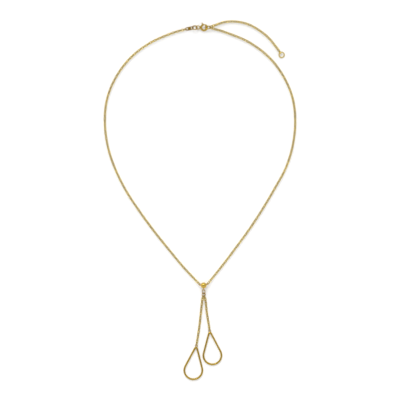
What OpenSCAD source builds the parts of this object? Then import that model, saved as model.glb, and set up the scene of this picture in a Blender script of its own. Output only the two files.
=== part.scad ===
// Lariat necklace of polished yellow gold, laid flat as it is shown for sale.
// Millimetres. +Y runs from the drops to the clasp and +Z points away from the surface it lies on.
// Pieces hook into each other at joints. A joint is the point halfway between the two crossing
// wires, and a piece that hangs between two joints is as long as their distance asks for.

/* [Chain] */
// Outer length of one oval link
link_length = 2.6; // [2.4:0.05:2.9]
// Outer width of one oval link
link_width = 1.8; // [1.7:0.05:2.1]
// Wire that the links and the small loops are bent from
link_wire = 0.4; // [0.3:0.02:0.44]
// How far the first link of a chain leans out of the flat, and every other link after it
link_lean = 55; // [50:1:62]
// Space between two wires that hook into each other
play = 0.18; // [0.17:0.01:0.2]
// Length over which a chain comes down from a raised end to the surface
drape = 5; // [4:0.5:10]

/* [Clasp] */
// Outer diameter of the spring ring
clasp_d = 5; // [4.8:0.1:6]
// Thickness of its hollow round tube
clasp_tube = 1.2; // [1.1:0.05:1.3]
// Bore of the tube that the bolt slides in
clasp_bore = 0.8; // [0.8:0.01:0.84]
// Diameter of the curved bolt
bolt_d = 0.6; // [0.5:0.02:0.6]
// Turn of the bolt from closed to fully drawn back
bolt_travel = 36; // [30:1:38]
// How far the closed bolt's tip reaches into the far end of the tube
bolt_seat = 4; // [3:1:8]
// Place of the thumb knob on the rim when the bolt is closed
knob_angle = 113; // [110:1:115]
// Diameter of the thumb knob
knob_d = 0.9; // [0.7:0.05:1]
// Outer length of the loop soldered to the rim
clasp_loop_length = 3.2; // [3.1:0.1:3.6]
// Outer width of that loop
clasp_loop_width = 2.8; // [2.7:0.05:2.9]
// Wire of that loop
clasp_loop_wire = 0.62; // [0.56:0.02:0.64]

/* [Rings and tag] */
// Wire of the two jump rings beside the clasp
ring_wire = 0.56; // [0.5:0.02:0.58]
// Outer diameter of the round jump ring between the clasp and the tag
jump_ring_d = 3.8; // [3.7:0.1:4.2]
// How far that ring leans out of the flat
jump_ring_lean = 35; // [30:1:40]
// Outer length of the oval ring that the clasp closes on
closing_ring_length = 4.2; // [4.1:0.1:5]
// Outer width of that oval ring
closing_ring_width = 3.3; // [3.2:0.1:3.6]
// Length of the bare tag
tag_length = 5.6; // [5:0.1:6.4]
// Width of the tag
tag_width = 2.3; // [2.1:0.1:2.5]
// Thickness of the tag
tag_thickness = 0.35; // [0.3:0.05:0.4]
// Hole near each end of the tag
tag_hole = 1.45; // [1.4:0.05:1.6]
// Metal left between each hole and the tag's end
tag_rim = 0.4; // [0.3:0.05:0.45]
// How far the tag leans out of the flat
tag_lean = 36; // [30:1:38]
// Outer diameter of the ring at the free end of the extender
end_ring_d = 4.2; // [3.8:0.1:5]
// Wire of that ring
end_ring_wire = 0.7; // [0.6:0.05:0.75]
// Outer diameter of the small link that holds it
end_link_d = 2.4; // [2.3:0.05:2.6]
// How far that small link leans out of the flat
end_link_lean = 66; // [60:1:72]

/* [Centre ball] */
// Diameter of the polished ball
ball_d = 4; // [3:0.1:5]
// Outer diameter of the loop on each side, which holds the neck chain
side_loop_d = 1.65; // [1.6:0.05:1.9]
// Outer diameter of the loop below, which stands on edge and holds the drops
drop_loop_d = 1.8; // [1.75:0.05:2]
// How far a soldered loop sinks into what carries it
solder = 0.2; // [0.1:0.02:0.26]

/* [Drops] */
// Outer length of the oval link below the ball
drop_link_length = 3.5; // [3.3:0.1:4.2]
// Outer width of that link
drop_link_width = 2.6; // [2.5:0.05:2.8]
// Wire of that link and of the ring below it
drop_wire = 0.5; // [0.44:0.02:0.52]
// How far that link leans out of the flat
drop_link_lean = 30; // [25:1:35]
// Outer diameter of the ring that carries both strands
drop_ring_d = 3; // [2.9:0.05:3.2]
// How far that ring leans the other way
drop_ring_lean = 35; // [28:1:38]
// Outer length of a teardrop, without its loop
teardrop_length = 22; // [18:0.5:26]
// Outer width of a teardrop
teardrop_width = 13; // [10:0.5:15]
// Round wire that a teardrop is bent from
teardrop_wire = 1.2; // [1:0.05:1.5]
// Bend at a teardrop's tip, measured to the middle of its wire
tip_bend = 0.85; // [0.8:0.05:1.2]
// Outer diameter of the loop soldered to a teardrop's tip
tip_loop_d = 1.9; // [1.85:0.05:2.1]

/* [Hidden] */
$fn = 48;
gold = [0.86, 0.72, 0.38];

// Where the main pieces lie, and which way they point
clasp_at = [2.6, 113.2];
jump_ring_heading = 4;
tag_heading = 11;
closing_ring_heading = 2;
ball_at = [2.4, -56];
left_loop_angle = 166;
right_loop_angle = 20;
end_ring_at = [53.6, 95.3];
end_ring_heading = -57;
teardrop_left_at = [-2.35, -95.2];
teardrop_left_heading = -97;
teardrop_right_at = [6.25, -85.4];
teardrop_right_heading = -83.5;

// The chains' routes seen from above, between the joints at their ends
neck_left_route = [[-18.5, 109.5], [-33, 103], [-45.5, 93.5], [-55, 81], [-61, 66.5], [-62.5, 51],
                   [-60.5, 35], [-55.5, 20], [-48.5, 6], [-40, -7], [-30.5, -20], [-20.5, -32.5],
                   [-10.5, -44.5]];
neck_right_route = [[10.5, 112], [17, 110], [31.5, 104], [44.5, 94.5], [54, 82.5], [60.5, 68],
                    [62.5, 52.5], [61, 36.5], [56.5, 21.5], [49, 7.5], [41, -6], [32.5, -19],
                    [23, -32], [13.5, -44.5]];
extender_route = [[10.5, 115], [17, 117], [25, 117], [32.5, 115], [39.5, 111], [45.5, 106]];
drop_left_route = [[1.4, -66], [0.6, -73.5], [-0.2, -81], [-1.3, -89]];
drop_right_route = [[3.6, -66], [4.4, -73.5], [5.6, -81]];
route_steps = 12;

// Heights of the joints above the surface, set by the pieces that rest on it
other_lean = link_lean - 90;
chain_z = rest_height(link_width, link_wire, link_lean);
clasp_z = rest_height(jump_ring_d, ring_wire, jump_ring_lean);
end_link_z = rest_height(end_link_d, link_wire, end_link_lean);
ball_z = ball_d / 2;

function rest_height(width, wire, lean) = (width - wire) / 2 * sin(lean) + wire / 2;
function span(length, wire) = length - 2 * wire - play;
function aim(heading, rise = 0) =
    [cos(heading) * cos(rise), sin(heading) * cos(rise), sin(rise)];

// A direction in the plane of a leaning loop, turned away from the way that the loop points
function round_loop(heading, rise, lean, turn) =
    let(ahead = aim(heading, rise), across = aim(heading + 90))
    cos(turn) * ahead + sin(turn) * (cos(lean) * across + sin(lean) * cross(ahead, across));

// Joints along the clasp, from the tag to the oval ring
clasp_r = (clasp_d - clasp_tube) / 2;
clasp_lean = asin((clasp_z - clasp_tube / 2) / clasp_r);
clasp_centre = [clasp_at.x, clasp_at.y, clasp_z];
clasp_loop_x = solder - clasp_d / 2 - clasp_loop_length / 2;
loop_joint = clasp_centre + [clasp_loop_x - span(clasp_loop_length, clasp_loop_wire) / 2, 0, 0];
tag_joint = loop_joint - span(jump_ring_d, ring_wire) * aim(jump_ring_heading);
tag_span = span(tag_length, tag_rim);
tag_rise = asin((clasp_z - chain_z) / tag_span);
neck_left_start = tag_joint - tag_span * aim(tag_heading, tag_rise);
closing_joint = clasp_centre + [clasp_r - (clasp_tube + play) / 2, 0, 0];
closing_end = closing_joint + span(closing_ring_length, ring_wire) * aim(closing_ring_heading);
closing_bend = (closing_ring_width - ring_wire) / 2;
closing_lean = asin((clasp_z - ring_wire / 2) / closing_bend);

// The two chains on the oval ring hook round its end, each a little way from the middle
closing_spread = 26;
closing_hold = closing_bend - (ring_wire + play) / 2;
closing_bend_centre = closing_end - closing_hold * aim(closing_ring_heading);
extender_start = closing_bend_centre
    + closing_hold * round_loop(closing_ring_heading, 0, -closing_lean, closing_spread);
neck_right_start = closing_bend_centre
    + closing_hold * round_loop(closing_ring_heading, 0, -closing_lean, -closing_spread);

// Joints round the ball and below it
ball_centre = [ball_at.x, ball_at.y, ball_z];
side_loop_r = ball_d / 2 - solder + side_loop_d / 2;
side_loop_hold = span(side_loop_d, link_wire) / 2;
side_pull = 28;
neck_left_end = ball_centre + side_loop_r * aim(left_loop_angle)
    + side_loop_hold * round_loop(left_loop_angle, 0, -other_lean, -side_pull);
neck_right_end = ball_centre + side_loop_r * aim(right_loop_angle)
    + side_loop_hold * round_loop(right_loop_angle, 0, -other_lean, side_pull);
drop_loop_r = ball_d / 2 - solder + drop_loop_d / 2;
drop_pull = 20;
drop_link_top = ball_centre - [0, drop_loop_r, 0]
    + span(drop_loop_d, link_wire) / 2 * aim(-90, -drop_pull);
drop_ring_hold = span(drop_ring_d, drop_wire) / 2;
drop_ring_slope = 5;
strand_spread = 30;
drop_ring_z = chain_z + drop_ring_hold * (cos(strand_spread) * sin(drop_ring_slope)
                                          + sin(strand_spread) * sin(drop_ring_lean) * cos(drop_ring_slope));
drop_link_bottom_z = drop_ring_z + drop_ring_hold * sin(drop_ring_slope);
drop_link_span = span(drop_link_length, drop_wire);
drop_link_slope = asin((drop_link_top.z - drop_link_bottom_z) / drop_link_span);
drop_link_bottom = drop_link_top + drop_link_span * aim(-90, -drop_link_slope);
drop_ring_centre = drop_link_bottom + drop_ring_hold * aim(-90, -drop_ring_slope);
function round_drop_ring(turn) =
    drop_ring_centre + drop_ring_hold * round_loop(-90, -drop_ring_slope, -drop_ring_lean, turn);

// Joints at the extender's end
end_ring_hold = span(end_ring_d, end_ring_wire) / 2;
end_ring_rise = asin((end_link_z - end_ring_wire / 2)
                     / (end_ring_hold + (end_ring_d - end_ring_wire) / 2));
end_ring_centre = [end_ring_at.x, end_ring_at.y, end_link_z - end_ring_hold * sin(end_ring_rise)];
end_ring_joint = end_ring_centre - end_ring_hold * aim(end_ring_heading, -end_ring_rise);
end_link_joint = end_ring_joint - span(end_link_d, link_wire) * aim(end_ring_heading);

// A smooth curve through a route's points, finely sampled, brought down from its raised ends
function through(a, b, c, d, t) =
    (2 * b + (c - a) * t + (2 * a - 5 * b + 4 * c - d) * t * t + (3 * b - a - 3 * c + d) * t * t * t) / 2;
function plan_curve(p) = let(last = len(p) - 1)
    concat([for (i = [0:last - 1], j = [0:route_steps - 1])
                through(p[max(i - 1, 0)], p[i], p[i + 1], p[min(i + 2, last)], j / route_steps)],
           [p[last]]);
function distances(p) =
    [for (i = 0, s = 0; i < len(p); s = s + (i < len(p) - 1 ? norm(p[i + 1] - p[i]) : 0), i = i + 1) s];
function fall(u) = u >= 1 ? 0 : (1 - u) * (1 - u) * (1 + 2 * u);
function path_table(p, s) = [for (axis = [0:2]) [for (i = [0:len(p) - 1]) [s[i], p[i][axis]]]];
function path_between(start, route, end) =
    let(plan = plan_curve(concat([[start.x, start.y]], route, [[end.x, end.y]])),
        along = distances(plan),
        whole = along[len(along) - 1],
        p = [for (i = [0:len(plan) - 1])
                [plan[i].x, plan[i].y,
                 chain_z + (start.z - chain_z) * fall(along[i] / drape)
                 + (end.z - chain_z) * fall((whole - along[i]) / drape)]],
        s = distances(p))
    [path_table(p, s), s[len(s) - 1]];
function at(path, s) = [for (table = path[0]) lookup(s, table)];

// An odd number of links, so that the first and the last lean the same way
function link_count(path) = 1 + 2 * ceil((path[1] / span(link_length, link_wire) - 1) / 2);
function joints(path) = let(n = link_count(path)) [for (k = [0:n]) at(path, k * path[1] / n)];

neck_left_path = path_between(neck_left_start, neck_left_route, neck_left_end);
neck_right_path = path_between(neck_right_start, neck_right_route, neck_right_end);
extender_path = path_between(extender_start, extender_route, end_link_joint);
drop_left_end = [teardrop_left_at.x, teardrop_left_at.y, chain_z];
drop_right_end = [teardrop_right_at.x, teardrop_right_at.y, chain_z];
drop_left_path = path_between(round_drop_ring(-strand_spread), drop_left_route, drop_left_end);
drop_right_path = path_between(round_drop_ring(strand_spread), drop_right_route, drop_right_end);

// The tube that stands for a neck chain's run of links, and the links at each end that don't need it
tube_sides = 8;
tube_rings = 40;
end_links = 3;

// A closed round wire, flat, with its long way along X
module wire_loop(length, width, wire) {
    bend = (width - wire) / 2;
    half = (length - width) / 2;
    if (half <= 0) {
        rotate_extrude() translate([bend, 0]) circle(d = wire);
    } else {
        for (side = [-1, 1]) {
            translate([side * half, 0, 0]) rotate([0, 0, -90 * side])
                rotate_extrude(angle = 180) translate([bend, 0]) circle(d = wire);
            translate([0, side * bend, 0]) rotate([0, 90, 0])
                cylinder(d = wire, h = 2 * half, center = true);
        }
    }
}

// Carries its children to the middle of two joints, with X from the first to the second
module between(p, q, lean) {
    d = q - p;
    translate((p + q) / 2) rotate([lean, atan2(-d.z, norm([d.x, d.y])), atan2(d.y, d.x)])
        children();
}

module chain_link(p, q, k) {
    between(p, q, k % 2 == 0 ? link_lean : other_lean) wire_loop(link_length, link_width, link_wire);
}

module chain(path) {
    p = joints(path);
    for (k = [0:len(p) - 2]) chain_link(p[k], p[k + 1], k);
}

// A ring of the tube: level sides, square to the route
function tube_ring(path, s) =
    let(h = path[1] / tube_rings / 4, c = at(path, s), d = at(path, s + h) - at(path, s - h),
        t = d / norm(d), n = cross([0, 0, 1], t) / norm(cross([0, 0, 1], t)), u = cross(t, n),
        r = chain_z / cos(180 / tube_sides))
    [for (i = [0:tube_sides - 1]) let(a = 360 * (i + 0.5) / tube_sides) c + r * (cos(a) * n + sin(a) * u)];

// A neck chain: its first and last links as they hook in, and the run between them as one tube
module neck_chain(path) {
    p = joints(path);
    last = len(p) - 1;
    for (k = [0:end_links - 1]) {
        chain_link(p[k], p[k + 1], k);
        chain_link(p[last - k - 1], p[last - k], last - k - 1);
    }
    start = end_links * path[1] / last + link_wire + 1.5 * play;
    step = (path[1] - 2 * start) / (tube_rings - 1);
    rings = [for (i = [0:tube_rings - 1]) tube_ring(path, start + i * step)];
    first_face = [for (j = [0:tube_sides - 1]) j];
    last_face = [for (j = [0:tube_sides - 1]) tube_sides * tube_rings - 1 - j];
    sides = [for (i = [0:tube_rings - 2], j = [0:tube_sides - 1]) let(next = (j + 1) % tube_sides)
        [tube_sides * i + j, tube_sides * (i + 1) + j, tube_sides * (i + 1) + next, tube_sides * i + next]];
    polyhedron([for (ring = rings) each ring], concat([first_face, last_face], sides), convexity = 10);
}

// A stretch of round bar bent about the clasp's middle, from one angle to another
module clasp_arc(d, from, to) {
    rotate([0, 0, from]) rotate_extrude(angle = to - from) translate([clasp_r, 0]) circle(d = d);
}

module clasp_place() {
    translate(clasp_centre) rotate([clasp_lean, 0, 0]) children();
}

knob_stem = 0.4;
knob_gap = 0.15;
knob_r = clasp_d / 2 + knob_gap + knob_d / 2;
bolt_gap = (clasp_bore - bolt_d) / 2;
// Angles round the clasp: the tube's two ends, the bolt's two ends and the knob's slot
bolt_tail = knob_angle + 15;
mouth_angle = knob_angle - 18;
bolt_tip = mouth_angle - bolt_travel;
socket_angle = bolt_tip + bolt_seat;
slot_margin = asin((knob_stem / 2 + bolt_gap) / clasp_r);

module clasp_ring() {
    color(gold) clasp_place() {
        difference() {
            union() {
                clasp_arc(clasp_tube, mouth_angle, socket_angle + 360);
                translate([clasp_loop_x, 0, 0])
                    wire_loop(clasp_loop_length, clasp_loop_width, clasp_loop_wire);
            }
            clasp_arc(clasp_bore, mouth_angle - 2, bolt_tail + bolt_travel + 2);
            clasp_arc(clasp_bore, bolt_tip - 4, socket_angle + 2);
            rotate([0, 0, knob_angle - slot_margin])
                rotate_extrude(angle = bolt_travel + 2 * slot_margin)
                    translate([clasp_r, -knob_stem / 2 - bolt_gap])
                        square([clasp_tube, knob_stem + 2 * bolt_gap]);
        }
    }
}

module clasp_bolt() {
    color(gold) clasp_place() {
        clasp_arc(bolt_d, bolt_tip, bolt_tail);
        rotate([0, 0, knob_angle]) {
            translate([clasp_r, 0, 0]) rotate([0, 90, 0]) cylinder(d = knob_stem, h = knob_r - clasp_r);
            translate([knob_r, 0, 0]) sphere(d = knob_d);
        }
    }
}

module clasp_jump_ring() {
    color(gold) between(tag_joint, loop_joint, -jump_ring_lean)
        wire_loop(jump_ring_d, jump_ring_d, ring_wire);
}

module tag() {
    hole_x = tag_length / 2 - tag_rim - tag_hole / 2;
    end_x = (tag_length - tag_width) / 2;
    color(gold) between(neck_left_start, tag_joint, tag_lean) difference() {
        union() {
            cube([2 * end_x, tag_width, tag_thickness], center = true);
            for (side = [-1, 1]) translate([side * end_x, 0, 0])
                cylinder(d = tag_width, h = tag_thickness, center = true);
        }
        for (side = [-1, 1]) translate([side * hole_x, 0, 0])
            cylinder(d = tag_hole, h = 2 * tag_thickness, center = true);
    }
}

module closing_ring() {
    color(gold) between(closing_joint, closing_end, -closing_lean)
        wire_loop(closing_ring_length, closing_ring_width, ring_wire);
}

module neck_chain_left() {
    color(gold) neck_chain(neck_left_path);
}

module neck_chain_right() {
    color(gold) neck_chain(neck_right_path);
}

module extender_chain() {
    color(gold) chain(extender_path);
}

module extender_end_link() {
    color(gold) between(end_link_joint, end_ring_joint, -end_link_lean)
        wire_loop(end_link_d, end_link_d, link_wire);
}

module extender_end_ring() {
    color(gold) translate(end_ring_centre) rotate([0, end_ring_rise, end_ring_heading])
        wire_loop(end_ring_d, end_ring_d, end_ring_wire);
}

module centre_ball() {
    color(gold) translate(ball_centre) {
        sphere(d = ball_d);
        rotate([0, 0, left_loop_angle]) translate([side_loop_r, 0, 0]) rotate([-other_lean, 0, 0])
            wire_loop(side_loop_d, side_loop_d, link_wire);
        rotate([0, 0, right_loop_angle]) translate([side_loop_r, 0, 0]) rotate([-other_lean, 0, 0])
            wire_loop(side_loop_d, side_loop_d, link_wire);
        translate([0, -drop_loop_r, 0]) rotate([0, 90, 0]) wire_loop(drop_loop_d, drop_loop_d, link_wire);
    }
}

module drop_link() {
    color(gold) between(drop_link_top, drop_link_bottom, drop_link_lean)
        wire_loop(drop_link_length, drop_link_width, drop_wire);
}

module drop_ring() {
    color(gold) translate(drop_ring_centre) rotate([-drop_ring_lean, drop_ring_slope, -90])
        wire_loop(drop_ring_d, drop_ring_d, drop_wire);
}

module drop_chain_left() {
    color(gold) chain(drop_left_path);
}

module drop_chain_right() {
    color(gold) chain(drop_right_path);
}

module teardrop_bend(r, reach) {
    rotate([0, 0, -reach]) rotate_extrude(angle = 2 * reach) translate([r, 0]) circle(d = teardrop_wire);
}

// A teardrop with its joint at the origin, its tip loop round it and its round end along +X.
// The straight sides are drawn a hair thinner than the bends, so that they run into them cleanly.
module teardrop() {
    bulb_r = (teardrop_width - teardrop_wire) / 2;
    centres = teardrop_length - teardrop_wire - bulb_r - tip_bend;
    half_angle = asin((bulb_r - tip_bend) / centres);
    side_d = teardrop_wire - 0.02;
    side_reach = 0.15;
    side_length = centres * cos(half_angle) + 2 * side_reach;
    loop_x = span(tip_loop_d, link_wire) / 2;
    tip_x = loop_x + tip_loop_d / 2 - solder + teardrop_wire / 2 + tip_bend;
    tilt = asin((chain_z - teardrop_wire / 2) / (tip_x + centres + bulb_r));
    rotate([0, tilt, 0]) {
        translate([loop_x, 0, 0]) wire_loop(tip_loop_d, tip_loop_d, link_wire);
        translate([tip_x, 0, 0]) {
            rotate([0, 0, 180]) teardrop_bend(tip_bend, 90 - half_angle);
            translate([centres, 0, 0]) teardrop_bend(bulb_r, 90 + half_angle);
            for (side = [-1, 1])
                rotate([0, 0, side * half_angle]) translate([-side_reach, side * tip_bend, 0])
                    rotate([0, 90, 0]) cylinder(d = side_d, h = side_length);
        }
    }
}

module teardrop_left() {
    color(gold) translate(drop_left_end) rotate([0, 0, teardrop_left_heading]) teardrop();
}

module teardrop_right() {
    color(gold) translate(drop_right_end) rotate([0, 0, teardrop_right_heading]) teardrop();
}

clasp_ring();
clasp_bolt();
clasp_jump_ring();
tag();
closing_ring();
neck_chain_left();
neck_chain_right();
extender_chain();
extender_end_link();
extender_end_ring();
centre_ball();
drop_link();
drop_ring();
drop_chain_left();
drop_chain_right();
teardrop_left();
teardrop_right();
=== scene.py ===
import math
import bpy
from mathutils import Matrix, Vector


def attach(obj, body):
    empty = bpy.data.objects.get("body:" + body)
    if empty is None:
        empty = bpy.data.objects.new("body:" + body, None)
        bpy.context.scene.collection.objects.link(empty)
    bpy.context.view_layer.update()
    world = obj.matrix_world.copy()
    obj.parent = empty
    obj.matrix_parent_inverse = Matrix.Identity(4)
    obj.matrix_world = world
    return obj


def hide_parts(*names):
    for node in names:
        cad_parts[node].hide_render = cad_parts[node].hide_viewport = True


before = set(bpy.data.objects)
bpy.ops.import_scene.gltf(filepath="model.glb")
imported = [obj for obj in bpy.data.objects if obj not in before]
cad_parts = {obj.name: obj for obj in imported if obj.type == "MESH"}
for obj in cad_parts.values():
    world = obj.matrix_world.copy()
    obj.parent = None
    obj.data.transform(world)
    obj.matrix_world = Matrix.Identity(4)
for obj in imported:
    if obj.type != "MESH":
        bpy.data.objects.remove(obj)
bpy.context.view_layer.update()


# ---- The view
# The necklace is seen from straight above, square to the table that it lies on, with the clasp at the
# top of the picture. A long lens keeps every piece nearly free of perspective.

picture_width = 0.26276
camera_height = 1.2
camera_film = 36.0
camera_sight = 10.0

camera_data = bpy.data.cameras.new("camera above the table")
camera_data.sensor_width = camera_film
camera_data.lens = camera_film * camera_height / picture_width
camera_data.clip_end = camera_sight
camera = bpy.data.objects.new("camera above the table", camera_data)
camera.location = (0.0, 0.0, camera_height)
bpy.context.scene.collection.objects.link(camera)
bpy.context.scene.camera = camera


# ---- The white table
# A light table: a seamless sheet of matt white, lit a little from below and more under the drops, far
# larger than the necklace, so that it fills every picture from edge to edge. It isn't part of the necklace.

board_reach = 6.0
board_white = 0.8
board_roughness = 0.9
glow_clasp_end = 0.156
glow_drop_end = 0.219
glow_reach = 0.13


def set_range(node, *limits):
    """The values that a Map Range node turns from and to."""
    for socket, value in zip(("From Min", "From Max", "To Min", "To Max"), limits):
        node.inputs[socket].default_value = value


board_mesh = bpy.data.meshes.new("white_board")
board_mesh.from_pydata([(-board_reach, -board_reach, 0.0), (board_reach, -board_reach, 0.0),
                        (board_reach, board_reach, 0.0), (-board_reach, board_reach, 0.0)],
                       [], [(0, 1, 2, 3)])
white_board = bpy.data.objects.new("white_board", board_mesh)
bpy.context.scene.collection.objects.link(white_board)

board_paper = bpy.data.materials.new("matt white board")
board_paper.use_nodes = True
board_surface = board_paper.node_tree.nodes["Principled BSDF"]
board_surface.inputs["Base Color"].default_value = (board_white, board_white, board_white, 1.0)
board_surface.inputs["Emission Strength"].default_value = 1.0
board_surface.inputs["Roughness"].default_value = board_roughness
board_surface.inputs["Specular IOR Level"].default_value = 0.0
board_nodes, board_join = board_paper.node_tree.nodes, board_paper.node_tree.links.new
board_place = board_nodes.new("ShaderNodeTexCoord")
board_axes = board_nodes.new("ShaderNodeSeparateXYZ")
board_lamps = board_nodes.new("ShaderNodeMapRange")
set_range(board_lamps, -glow_reach, glow_reach, glow_drop_end, glow_clasp_end)
board_join(board_place.outputs["Object"], board_axes.inputs["Vector"])
board_join(board_axes.outputs["Y"], board_lamps.inputs["Value"])
board_join(board_lamps.outputs["Result"], board_surface.inputs["Emission Color"])
board_mesh.materials.append(board_paper)


# ---- The studio light
# The metal mirrors a white tent, brighter behind the clasp end and behind the drops, with a dark slit
# overhead, long sideways, where the camera looks in. One big soft box throws the short soft shadows. It is
# polarised, so that the metal doesn't mirror it. A small lamp above it puts the sparks on the metal.

tent_glow = 0.60
clasp_side = (-0.12, 0.78, 0.62)
clasp_side_glow = 0.35
drop_side = (0.0, -0.9, 0.43)
drop_side_glow = 0.25
slit_shape = (1.0, 2.6, 0.0)
slit_dark_to = 0.40
slit_gone_from = 0.68
slit_glow = 0.10

key_place = (-0.9, 5.6, 4.4)
key_size = (6.8, 5.4)
key_watts = 300.0
spark_place = (-1.6, 4.6, 5.6)
spark_size = (1.0, 0.8)
spark_watts = 60.0


def hang_lamp(name, place, size, watts, mirrored):
    """A lamp with a flat white front that faces the middle of the table."""
    lamp = bpy.data.lights.new(name, "AREA")
    lamp.shape = "RECTANGLE"
    lamp.size, lamp.size_y = size
    lamp.energy = watts
    box = bpy.data.objects.new(name, lamp)
    box.location = place
    box.rotation_euler = (-Vector(place)).to_track_quat("-Z", "Y").to_euler()
    box.visible_glossy = mirrored
    bpy.context.scene.collection.objects.link(box)


hang_lamp("key soft box", key_place, key_size, key_watts, False)
hang_lamp("small lamp", spark_place, spark_size, spark_watts, True)

studio = bpy.data.worlds.new("studio tent")
studio.use_nodes = True
tent, hang = studio.node_tree.nodes, studio.node_tree.links.new
backdrop = tent["Background"]
backdrop.inputs["Color"].default_value = (1.0, 1.0, 1.0, 1.0)
towards = tent.new("ShaderNodeTexCoord")
glows, cloth = tent.new("ShaderNodeMath"), tent.new("ShaderNodeMath")
cloth.operation = "MULTIPLY"
sides = ((clasp_side, tent_glow, tent_glow + clasp_side_glow), (drop_side, 0.0, drop_side_glow))
for (side, away, full), socket in zip(sides, glows.inputs):
    facing, glow = tent.new("ShaderNodeVectorMath"), tent.new("ShaderNodeMapRange")
    facing.operation = "DOT_PRODUCT"
    facing.inputs[1].default_value = Vector(side).normalized()
    glow.interpolation_type = "SMOOTHSTEP"
    set_range(glow, 0.0, 1.0, away, full)
    hang(towards.outputs["Generated"], facing.inputs[0])
    hang(facing.outputs["Value"], glow.inputs["Value"])
    hang(glow.outputs["Result"], socket)
drawn, aside = tent.new("ShaderNodeVectorMath"), tent.new("ShaderNodeVectorMath")
slit = tent.new("ShaderNodeMapRange")
drawn.operation, aside.operation = "MULTIPLY", "LENGTH"
drawn.inputs[1].default_value = slit_shape
slit.interpolation_type = "SMOOTHSTEP"
set_range(slit, slit_dark_to, slit_gone_from, slit_glow, 1.0)
hang(towards.outputs["Generated"], drawn.inputs[0])
hang(drawn.outputs["Vector"], aside.inputs[0])
hang(aside.outputs["Value"], slit.inputs["Value"])
hang(glows.outputs["Value"], cloth.inputs[0])
hang(slit.outputs["Result"], cloth.inputs[1])
hang(cloth.outputs["Value"], backdrop.inputs["Strength"])
bpy.context.scene.world = studio
bpy.context.scene.view_settings.view_transform = "Standard"


# ---- The neck chain
# Cable chain of oval links in yellow gold: each link is bent from round drawn wire, soldered shut and
# turned about a quarter turn to the next, and the finished chain is tumbled to a soft polish.

# A link in metres, with the play that hooked links leave each other. Every other link leans so far, the ones
# between a quarter turn less, and each sways a little by chance. The wire has a radius of a little more than
# half its thickness, because one with so few sides looks thinner than a round one.
link_length = 0.0026
link_width = 0.0018
link_wire = 0.0004
link_play = 0.00018
link_lean = math.radians(55.0)
link_sway = math.radians(8.0)
sway_seed = 5
bend_steps = 18
wire_sides = 8
wire_fullness = 0.51

# The line's height over the table where the chain lies, the length in which it comes down from its ends, and
# the steps from one point of a route to the next
chain_height = 0.000773406
chain_drape = 0.005
route_steps = 12

# Where the chain lies and where it is hooked in, in millimetres
neck_left_start = (-9.19881, 112.148, 0.773406)
neck_left_route = [(-18.5, 109.5), (-33, 103), (-45.5, 93.5), (-55, 81), (-61, 66.5), (-62.5, 51),
                   (-60.5, 35), (-55.5, 20), (-48.5, 6), (-40, -7), (-30.5, -20), (-20.5, -32.5),
                   (-10.5, -44.5)]
neck_left_end = (-0.402861, -55.1684, 1.90979)
neck_right_start = (6.61833, 112.976, 1.50652)
neck_right_route = [(10.5, 112), (17, 110), (31.5, 104), (44.5, 94.5), (54, 82.5), (60.5, 68),
                    (62.5, 52.5), (61, 36.5), (56.5, 21.5), (49, 7.5), (41, -6), (32.5, -19), (23, -32),
                    (13.5, -44.5)]
neck_right_end = (5.10058, -54.88, 2.09021)

# How the tone differs: painted light and shade from one link to the next, a tone that differs by chance, and
# painted shade from a link's open sides to its hooked ends
lean_shade_step = 0.25
tone_spread = 0.2
tone_seed = 11
hook_shade_depth = 0.6
hook_shade_from = 0.4

# The marks and the cloudiness of the polish, and the wear that goes from smooth to dull
cloud_detail = 3.0
mark_detail = 2.0
mark_twist = 1.5
mark_strength = 0.4
wear_least = 0.1
wear_most = 0.45


def laid_chain(start, route, end):
    """The line that a chain's links hang on, in metres, coming down at both ends to lie on the table."""
    start, end = Vector(start) / 1000.0, Vector(end) / 1000.0
    knots = [start.xy] + [Vector(p) / 1000.0 for p in route] + [end.xy]
    plan = []
    for i in range(len(knots) - 1):
        a, b, c, d = knots[max(i - 1, 0)], knots[i], knots[i + 1], knots[min(i + 2, len(knots) - 1)]
        for step in range(route_steps):
            t = step / route_steps
            plan.append((2 * b + (c - a) * t + (2 * a - 5 * b + 4 * c - d) * t * t
                         + (3 * b - a - 3 * c + d) * t ** 3) / 2.0)
    plan.append(knots[-1])
    along = [0.0]
    for p, q in zip(plan, plan[1:]):
        along.append(along[-1] + (q - p).length)

    def fall(run):
        u = run / chain_drape
        return (1 - u) ** 2 * (1 + 2 * u) if u < 1 else 0.0

    return [Vector((p.x, p.y, chain_height + (start.z - chain_height) * fall(s)
                    + (end.z - chain_height) * fall(along[-1] - s))) for p, s in zip(plan, along)]


def link_count(line):
    """An odd number of links, so that the first and the last lean the same way."""
    length = sum((q - p).length for p, q in zip(line, line[1:]))
    return 1 + 2 * math.ceil((length / (link_length - 2 * link_wire - link_play) - 1) / 2)


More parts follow.
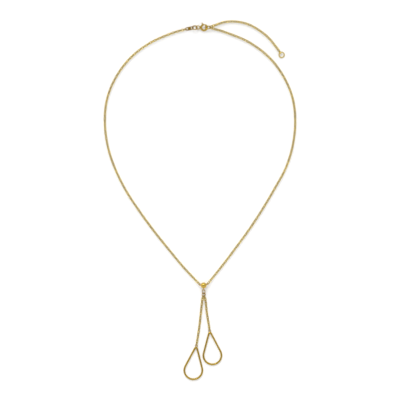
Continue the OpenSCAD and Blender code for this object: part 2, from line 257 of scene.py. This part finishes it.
def handling_marks():
    """Shader group: fine tumbling marks and a faint cloudiness, as on polished metal that has been worn."""
    group = bpy.data.node_groups.new("tumbling marks", "ShaderNodeTree")
    make, join, new_socket = group.nodes.new, group.links.new, group.interface.new_socket
    for kind, names in (("NodeSocketVector", ("Position",)),
                        ("NodeSocketFloat", ("Mark size", "Cloud size", "Smooth", "Dull", "Tone")),
                        ("NodeSocketColor", ("Bright colour", "Deep colour"))):
        for name in names:
            new_socket(name, in_out="INPUT", socket_type=kind)
    for name, kind in (("Colour", "NodeSocketColor"), ("Roughness", "NodeSocketFloat"),
                       ("Height", "NodeSocketFloat")):
        new_socket(name, in_out="OUTPUT", socket_type=kind)
    given, out = make("NodeGroupInput"), make("NodeGroupOutput")

    cloud, marks = make("ShaderNodeTexNoise"), make("ShaderNodeTexNoise")
    cloud.inputs["Detail"].default_value = cloud_detail
    marks.inputs["Detail"].default_value = mark_detail
    marks.inputs["Distortion"].default_value = mark_twist
    join(given.outputs["Position"], cloud.inputs["Vector"])
    join(given.outputs["Cloud size"], cloud.inputs["Scale"])
    join(given.outputs["Position"], marks.inputs["Vector"])
    join(given.outputs["Mark size"], marks.inputs["Scale"])

    wear, spread = make("ShaderNodeMath"), make("ShaderNodeMapRange")
    wear.operation = "MULTIPLY"
    set_range(spread, wear_least, wear_most)
    join(cloud.outputs["Fac"], wear.inputs[0])
    join(marks.outputs["Fac"], wear.inputs[1])
    join(wear.outputs["Value"], spread.inputs["Value"])
    join(given.outputs["Smooth"], spread.inputs["To Min"])
    join(given.outputs["Dull"], spread.inputs["To Max"])

    # The tone that a part is given, which on the chain is painted light and shade, adds to the cloudiness in
    # darkening the colour towards the deep one
    depth, tone = make("ShaderNodeMath"), make("ShaderNodeMix")
    depth.use_clamp = True
    tone.data_type = "RGBA"
    join(cloud.outputs["Fac"], depth.inputs[0])
    join(given.outputs["Tone"], depth.inputs[1])
    join(depth.outputs["Value"], tone.inputs["Factor"])
    join(given.outputs["Bright colour"], tone.inputs["A"])
    join(given.outputs["Deep colour"], tone.inputs["B"])
    join(tone.outputs["Result"], out.inputs["Colour"])
    join(spread.outputs["Result"], out.inputs["Roughness"])
    join(marks.outputs["Fac"], out.inputs["Height"])
    return group


tumbling_marks = handling_marks()


def gold(name, bright, deep, smooth, dull, mark_size, cloud_size, mark_depth):
    """Yellow gold with its own polish and marks; its colour is the gold's own, made lighter or darker for
    each part as painted light and shade.
    """
    metal = bpy.data.materials.new(name)
    metal.use_nodes = True
    nodes, join = metal.node_tree.nodes, metal.node_tree.links.new
    surface = nodes["Principled BSDF"]
    surface.inputs["Metallic"].default_value = 1.0
    place, marks = nodes.new("ShaderNodeTexCoord"), nodes.new("ShaderNodeGroup")
    bump = nodes.new("ShaderNodeBump")
    marks.node_tree = tumbling_marks
    for socket, value in (("Mark size", mark_size), ("Cloud size", cloud_size), ("Smooth", smooth),
                          ("Dull", dull), ("Bright colour", (*bright, 1.0)), ("Deep colour", (*deep, 1.0))):
        marks.inputs[socket].default_value = value
    bump.inputs["Strength"].default_value = mark_strength
    bump.inputs["Distance"].default_value = mark_depth
    join(place.outputs["Object"], marks.inputs["Position"])
    join(marks.outputs["Colour"], surface.inputs["Base Color"])
    join(marks.outputs["Roughness"], surface.inputs["Roughness"])
    join(marks.outputs["Height"], bump.inputs["Height"])
    join(bump.outputs["Normal"], surface.inputs["Normal"])
    return metal


chain_gold = gold("tumbled gold wire", bright=(1.0, 0.765, 0.10), deep=(0.46, 0.315, 0.015),
                  smooth=0.14, dull=0.26, mark_size=3000.0, cloud_size=500.0, mark_depth=0.000006)
# The links' painted light and shade, with their tone that differs by chance, darken the wire towards its
# deep colour
chain_nodes, chain_join = chain_gold.node_tree.nodes, chain_gold.node_tree.links.new
chain_shade_and_tone = chain_nodes.new("ShaderNodeMath")
for attribute, socket in zip(("link shade and tone", "hook painted shade"), chain_shade_and_tone.inputs):
    told = chain_nodes.new("ShaderNodeAttribute")
    told.attribute_name = attribute
    chain_join(told.outputs["Fac"], socket)
chain_join(chain_shade_and_tone.outputs["Value"], chain_nodes["Group"].inputs["Tone"])


def link_run_tree():
    """Geometry nodes: oval links hooked along a line, each leaning a quarter turn from the one before."""
    tree = bpy.data.node_groups.new("links along a line", "GeometryNodeTree")
    tree.is_modifier = True
    make, join, new_socket = tree.nodes.new, tree.links.new, tree.interface.new_socket
    new_socket("Line", in_out="INPUT", socket_type="NodeSocketGeometry")
    new_socket("Links", in_out="INPUT", socket_type="NodeSocketInt")
    for name in ("Link length", "Link width", "Wire", "Lean", "Sway",
                 "Lean shade step", "Tone spread", "Hook shade depth"):
        new_socket(name, in_out="INPUT", socket_type="NodeSocketFloat")
    new_socket("Metal", in_out="INPUT", socket_type="NodeSocketMaterial")
    new_socket("Chain", in_out="OUTPUT", socket_type="NodeSocketGeometry")
    given, out = make("NodeGroupInput"), make("NodeGroupOutput")

    def reckon(operation, a, b=None):
        """One step of arithmetic on numbers or on what other nodes give."""
        node = make("ShaderNodeMath")
        node.operation = operation
        for socket, value in zip(node.inputs, (a, b)):
            if isinstance(value, (int, float)):
                socket.default_value = value
            elif value is not None:
                join(value, socket)
        return node.outputs["Value"]

    def either_way(amount, seed):
        """A chance amount for each link, as much one way as the other."""
        chance = make("FunctionNodeRandomValue")
        chance.data_type = "FLOAT"
        chance.inputs["Seed"].default_value = seed
        least, most = (s for s in chance.inputs if s.enabled and s.name in ("Min", "Max"))
        join(reckon("MULTIPLY", amount, -1), least)
        join(amount, most)
        return next(s for s in chance.outputs if s.enabled)

    def marked(geometry, name, value):
        """The same geometry with a number written on it, which the metal reads."""
        note = make("GeometryNodeStoreNamedAttribute")
        note.data_type = "FLOAT"
        note.inputs["Name"].default_value = name
        join(geometry, note.inputs["Geometry"])
        join(value, note.inputs["Value"])
        return note.outputs["Geometry"]

    # One link: a circle of bent wire pulled out into an oval
    across = reckon("SUBTRACT", given.outputs["Link width"], given.outputs["Wire"])
    stretch = reckon("SUBTRACT", given.outputs["Link length"], given.outputs["Link width"])
    bend, pull = reckon("MULTIPLY", across, 0.5), reckon("MULTIPLY", stretch, 0.5)
    circle, section = make("GeometryNodeCurvePrimitiveCircle"), make("GeometryNodeCurvePrimitiveCircle")
    circle.inputs["Resolution"].default_value = bend_steps
    section.inputs["Resolution"].default_value = wire_sides
    join(bend, circle.inputs["Radius"])
    join(reckon("MULTIPLY", given.outputs["Wire"], wire_fullness), section.inputs["Radius"])
    spot, apart = make("GeometryNodeInputPosition"), make("ShaderNodeSeparateXYZ")
    offset, oval = make("ShaderNodeCombineXYZ"), make("GeometryNodeSetPosition")
    join(spot.outputs["Position"], apart.inputs["Vector"])
    join(reckon("MULTIPLY", reckon("SIGN", apart.outputs["X"]), pull), offset.inputs["X"])
    join(circle.outputs["Curve"], oval.inputs["Geometry"])
    join(offset.outputs["Vector"], oval.inputs["Offset"])
    link = make("GeometryNodeCurveToMesh")
    join(oval.outputs["Geometry"], link.inputs["Curve"])
    join(section.outputs["Curve"], link.inputs["Profile Curve"])

    # Painted shade: a link's ends, which sit hooked in its neighbours, are painted darker than its open
    # sides
    share = reckon("DIVIDE", reckon("ABSOLUTE", apart.outputs["X"]),
                   reckon("MULTIPLY", given.outputs["Link length"], 0.5))
    hook_shaded = marked(link.outputs["Mesh"], "hook painted shade",
                    reckon("MULTIPLY", reckon("SUBTRACT", share, hook_shade_from),
                           reckon("MULTIPLY", given.outputs["Hook shade depth"], 2)))

    # The joints along the line, and between each two of them one link's place and direction
    line, joints, strung = (make(kind) for kind in ("GeometryNodeMeshToCurve", "GeometryNodeResampleCurve",
                                                    "GeometryNodeCurveToMesh"))
    joints.mode = "COUNT"
    join(given.outputs["Line"], line.inputs["Mesh"])
    join(line.outputs["Curve"], joints.inputs["Curve"])
    join(reckon("ADD", given.outputs["Links"], 1), joints.inputs["Count"])
    join(joints.outputs["Curve"], strung.inputs["Curve"])
    ends, reach = make("GeometryNodeInputMeshEdgeVertices"), make("ShaderNodeVectorMath")
    reach.operation = "SUBTRACT"
    join(ends.outputs["Position 2"], reach.inputs[0])
    join(ends.outputs["Position 1"], reach.inputs[1])
    kept, places = make("GeometryNodeCaptureAttribute"), make("GeometryNodeMeshToPoints")
    kept.domain = "EDGE"
    kept.capture_items.new("VECTOR", "Reach")
    places.mode = "EDGES"
    join(strung.outputs["Mesh"], kept.inputs["Geometry"])
    join(reach.outputs["Vector"], kept.inputs["Reach"])
    join(kept.outputs["Geometry"], places.inputs["Mesh"])

    # Every other link leans the other way, and none quite like the next or so far that it leaves the table
    odd = reckon("MODULO", make("GeometryNodeInputIndex").outputs["Index"], 2)
    lean = reckon("SUBTRACT", given.outputs["Lean"], reckon("MULTIPLY", odd, math.pi / 2))
    swayed = reckon("ADD", lean, either_way(given.outputs["Sway"], sway_seed))
    along = make("ShaderNodeSeparateXYZ")
    join(kept.outputs["Reach"], along.inputs["Vector"])
    level = reckon("SQRT", reckon("ADD", reckon("POWER", along.outputs["X"], 2),
                                  reckon("POWER", along.outputs["Y"], 2)))
    turn, turned = make("ShaderNodeCombineXYZ"), make("FunctionNodeEulerToRotation")
    join(reckon("MINIMUM", swayed, given.outputs["Lean"]), turn.inputs["X"])
    join(reckon("ARCTAN2", reckon("MULTIPLY", along.outputs["Z"], -1), level), turn.inputs["Y"])
    join(reckon("ARCTAN2", along.outputs["Y"], along.outputs["X"]), turn.inputs["Z"])
    join(turn.outputs["Vector"], turned.inputs["Euler"])

    # Painted light and shade: the links that lie flatter are painted lighter than the ones that stand
    # between them, and each link's tone differs a little by chance
    step = reckon("MULTIPLY", reckon("SUBTRACT", 0.5, odd),
                  reckon("MULTIPLY", given.outputs["Lean shade step"], 2))
    shaded_and_toned = marked(places.outputs["Points"], "link shade and tone",
                   reckon("ADD", step, either_way(given.outputs["Tone spread"], tone_seed)))

    hung, whole = make("GeometryNodeInstanceOnPoints"), make("GeometryNodeRealizeInstances")
    smooth, finish = make("GeometryNodeSetShadeSmooth"), make("GeometryNodeSetMaterial")
    join(shaded_and_toned, hung.inputs["Points"])
    join(hook_shaded, hung.inputs["Instance"])
    join(turned.outputs["Rotation"], hung.inputs["Rotation"])
    join(hung.outputs["Instances"], whole.inputs["Geometry"])
    join(whole.outputs["Geometry"], smooth.inputs["Geometry"])
    join(smooth.outputs["Geometry"], finish.inputs["Geometry"])
    join(given.outputs["Metal"], finish.inputs["Material"])
    join(finish.outputs["Geometry"], out.inputs["Chain"])
    return tree


links_along_a_line = link_run_tree()


def string_links(name, node, start, route, end):
    """A chain's links as one plain mesh, in the place of a node."""
    line = laid_chain(start, route, end)
    mesh = bpy.data.meshes.new(name)
    mesh.from_pydata(line, [(i, i + 1) for i in range(len(line) - 1)], [])
    piece = bpy.data.objects.new(name, mesh)
    bpy.context.scene.collection.objects.link(piece)
    run = piece.modifiers.new("links", "NODES")
    run.node_group = links_along_a_line
    wanted = {"Links": link_count(line), "Link length": link_length, "Link width": link_width,
              "Wire": link_wire, "Lean": link_lean, "Sway": link_sway, "Lean shade step": lean_shade_step,
              "Tone spread": tone_spread, "Hook shade depth": hook_shade_depth, "Metal": chain_gold}
    for socket in links_along_a_line.interface.items_tree:
        if socket.item_type == "SOCKET" and socket.in_out == "INPUT" and socket.name in wanted:
            run[socket.identifier] = wanted[socket.name]
    made = bpy.data.meshes.new_from_object(piece.evaluated_get(bpy.context.evaluated_depsgraph_get()))
    piece.modifiers.remove(run)
    piece.data = made
    made.name = name
    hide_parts(node)
    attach(piece, "necklace")


string_links("neck_left_links", "neck_chain_left", neck_left_start, neck_left_route, neck_left_end)
string_links("neck_right_links", "neck_chain_right", neck_right_start, neck_right_route, neck_right_end)


# ---- The extender and the two strands
# The same chain in shorter lengths: the extender from the closing ring to its small end link and end ring,
# whose gold is painted light, and a longer and a shorter strand from the ring below the ball to the
# teardrops.

extender_start = (6.59585, 113.62, 0.911871)
extender_route = [(10.5, 115), (17, 117), (25, 117), (32.5, 115), (39.5, 111), (45.5, 106)]
extender_end = (52.1357, 97.5548, 1.11355)
strand_left_start = (2.02729, -63.0182, 1.29337)
strand_left_route = [(1.4, -66), (0.6, -73.5), (-0.2, -81), (-1.3, -89)]
strand_left_end = (-2.35, -95.2, 0.773406)
strand_right_start = (2.77271, -62.9728, 0.773406)
strand_right_route = [(3.6, -66), (4.4, -73.5), (5.6, -81)]
strand_right_end = (6.25, -85.4, 0.773406)

string_links("extender_links", "extender_chain", extender_start, extender_route, extender_end)
string_links("strand_left_links", "drop_chain_left",
             strand_left_start, strand_left_route, strand_left_end)
string_links("strand_right_links", "drop_chain_right",
             strand_right_start, strand_right_route, strand_right_end)


def finish_nodes(metal, *names):
    """Gives CAD nodes their metal."""
    for name in names:
        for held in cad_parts[name].material_slots:
            held.material = metal


# The end ring's gold is painted lighter: painted light against the shadow that falls inside the small ring
lit_ring_gold = gold("gold ring with painted light", bright=(0.75, 0.58, 0.16), deep=(0.63, 0.46, 0.10),
                 smooth=0.12, dull=0.24, mark_size=2200.0, cloud_size=350.0, mark_depth=0.000006)
finish_nodes(chain_gold, "extender_end_link")
finish_nodes(lit_ring_gold, "extender_end_ring")


# ---- The clasp, its rings and the tag
# A small spring ring of hollow tube with a curved bolt and thumb knob, the jump rings on both sides of
# it and a bare oval tag. All are stamped or bent, soldered, and polished on a soft wheel or by hand.

wheel_gold = gold("wheel polished gold", bright=(0.62, 0.43, 0.07), deep=(0.46, 0.305, 0.04),
                  smooth=0.12, dull=0.24, mark_size=2200.0, cloud_size=350.0, mark_depth=0.000006)
# The gold of the small jump ring, and of the link and ring below the ball, is painted deeper: painted shade
# for the dark in and around their small rings
shaded_joint_gold = gold("hand polished gold wire with painted shade", bright=(0.53, 0.33, 0.036), deep=(0.385, 0.235, 0.018),
                  smooth=0.14, dull=0.26, mark_size=2200.0, cloud_size=350.0, mark_depth=0.000006)
# The tag's gold is painted far darker than the rest: a painted dark reflection, for the dark that its flat
# face mirrors
shaded_tag_gold = gold("rolled gold sheet with painted reflection", bright=(0.365, 0.22, 0.021), deep=(0.25, 0.145, 0.014),
                smooth=0.18, dull=0.34, mark_size=1800.0, cloud_size=300.0, mark_depth=0.000006)
finish_nodes(wheel_gold, "clasp_ring", "clasp_bolt", "closing_ring")
finish_nodes(shaded_joint_gold, "clasp_jump_ring")
finish_nodes(shaded_tag_gold, "tag")


# ---- The ball and what hangs below it
# A hollow ball, pressed in two halves and polished to a mirror, with a soldered loop for each chain end
# and one below, where an oval link and a round ring carry the two strands.

mirror_gold = gold("mirror polished gold", bright=(0.73, 0.51, 0.12), deep=(0.59, 0.39, 0.06),
                   smooth=0.07, dull=0.14, mark_size=1500.0, cloud_size=250.0, mark_depth=0.000003)
finish_nodes(mirror_gold, "centre_ball")
# The link and ring below the ball take the gold with painted shade
finish_nodes(shaded_joint_gold, "drop_link", "drop_ring")


# ---- The teardrops
# Two open teardrops bent from round wire about three times as thick as the chain's, closed with a
# soldered loop at the tip, and polished.

bar_gold = gold("polished gold bar", bright=(0.63, 0.43, 0.078), deep=(0.465, 0.31, 0.036),
                smooth=0.16, dull=0.32, mark_size=1600.0, cloud_size=220.0, mark_depth=0.000004)
finish_nodes(bar_gold, "teardrop_left", "teardrop_right")
